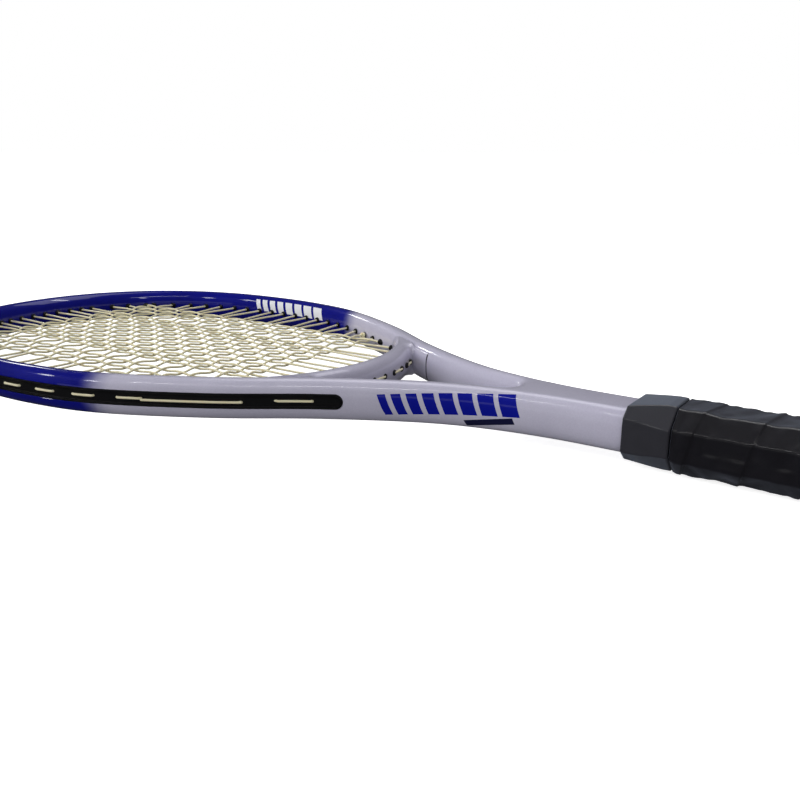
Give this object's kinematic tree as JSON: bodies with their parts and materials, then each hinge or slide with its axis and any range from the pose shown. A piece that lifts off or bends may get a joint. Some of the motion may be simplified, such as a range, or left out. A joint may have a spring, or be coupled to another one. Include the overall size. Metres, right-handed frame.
{
  "type": "tennis racket",
  "caption": "Strung tennis racket: hollow oval hoop and twin shafts, throat bridge, woven string bed in grommet strips, wrapped handle with a rubber collar.",
  "frame": {"origin": "centre of the butt cap's end face", "axes": "+X along the racket from the butt to the head's tip, +Z square to the strings, +Y across the head"},
  "size_m": [0.6847, 0.2598, 0.035],
  "materials": {
    "frame_paint": "gloss pearl paint, lavender white with a deep blue head, over carbon composite",
    "grommet_nylon": "moulded black nylon",
    "string": "natural synthetic gut",
    "pallet_foam": "moulded rigid foam",
    "cap_plastic": "moulded black ABS",
    "staple_steel": "drawn wire",
    "grip": "cushioned black polyurethane strip",
    "tape": "black vinyl tape",
    "collar_rubber": "satin moulded rubber"
  },
  "bodies": {
    "racket": {"bridge_grommet_left_1": "grommet_nylon", "bridge_grommet_left_2": "grommet_nylon", "bridge_grommet_left_3": "grommet_nylon", "bridge_grommet_left_4": "grommet_nylon", "bridge_grommet_left_5": "grommet_nylon", "bridge_grommet_right_1": "grommet_nylon", "bridge_grommet_right_2": "grommet_nylon", "bridge_grommet_right_3": "grommet_nylon", "bridge_grommet_right_4": "grommet_nylon", "bridge_grommet_right_5": "grommet_nylon", "bumper_guard": "grommet_nylon", "butt_cap": "cap_plastic", "butt_staple_lower": "staple_steel", "butt_staple_upper": "staple_steel", "cross_string": "string", "finishing_tape": "tape", "frame": "frame_paint", "grip_wrap": "grip", "handle_pallet_lower": "pallet_foam", "handle_pallet_upper": "pallet_foam", "main_string": "string", "side_grommet_strip_left": "grommet_nylon", "side_grommet_strip_right": "grommet_nylon", "throat_bridge": "frame_paint"},
    "collar": {"grip_collar": "collar_rubber"}
  },
  "joints": [
    {"name": "collar_slide", "type": "slide", "parent": "racket", "child": "collar", "axis": [1, 0, 0], "range_m": [0, 0.02]}
  ]
}
